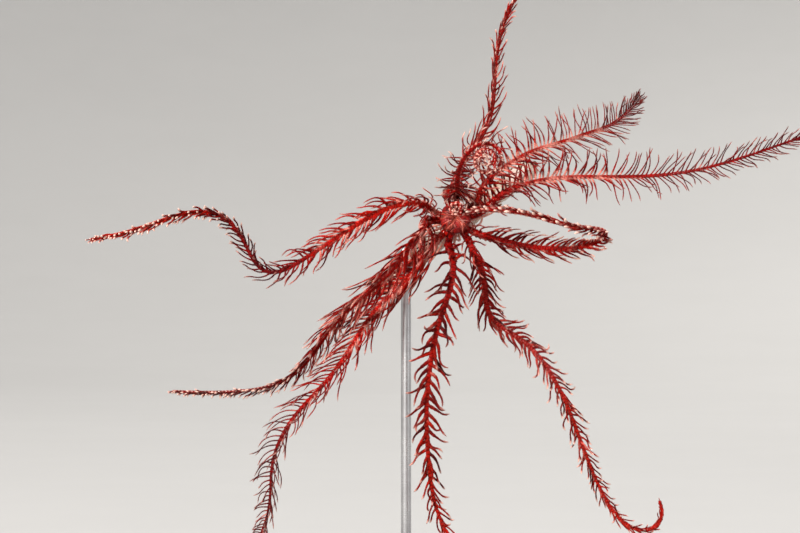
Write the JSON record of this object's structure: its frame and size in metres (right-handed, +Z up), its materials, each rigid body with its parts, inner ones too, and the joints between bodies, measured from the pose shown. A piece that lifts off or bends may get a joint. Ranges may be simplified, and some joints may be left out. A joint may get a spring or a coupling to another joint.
{
  "type": "mediterranean feather star model",
  "caption": "Life-size feather star with feathered arms and gripping cirri on a cut gorgonian stem, held by a flat base and a rod.",
  "frame": {"origin": "centre of the flat underside of the stand's base", "axes": "+Z up; +X to the right and -Y towards the viewer as in the picture, so the star's mouth faces -Y"},
  "size_m": [0.1909, 0.074, 0.1641],
  "materials": {
    "star": "wet saturated red, salmon arm plates with pale pink spots where the pinnules root",
    "disc": "soft wet leathery red skin with paler food grooves",
    "cirri": "smooth jointed salmon pink, paler at each joint",
    "perch": "knobbly cream gorgonian bark with small brown polyps, dark horny core at the cut ends",
    "stand_wood": "dark stained close-grained wood, satin varnish",
    "stand_metal": "brushed steel rod and ring"
  },
  "bodies": {
    "root": {"arm_01_base": "star", "arm_01_mid": "star", "arm_01_tip": "star", "arm_02_base": "star", "arm_02_mid": "star", "arm_02_tip": "star", "arm_03_base": "star", "arm_03_mid": "star", "arm_03_tip": "star", "arm_04_base": "star", "arm_04_mid": "star", "arm_04_tip": "star", "arm_05_base": "star", "arm_05_mid": "star", "arm_05_outer": "star", "arm_05_tip": "star", "arm_06_base": "star", "arm_06_mid": "star", "arm_06_tip": "star", "arm_07_base": "star", "arm_07_mid": "star", "arm_07_tip": "star", "arm_08_base": "star", "arm_08_mid": "star", "arm_08_tip": "star", "arm_09_base": "star", "arm_09_mid": "star", "arm_09_outer": "star", "arm_09_tip": "star", "arm_10_base": "star", "arm_10_mid": "star", "arm_10_outer": "star", "arm_10_tip": "star", "calyx": "star", "cirri": "cirri", "disc": "disc", "perch_stem": "perch", "stand_base": "stand_wood", "stand_rod": "stand_metal"}
  },
  "joints": []
}
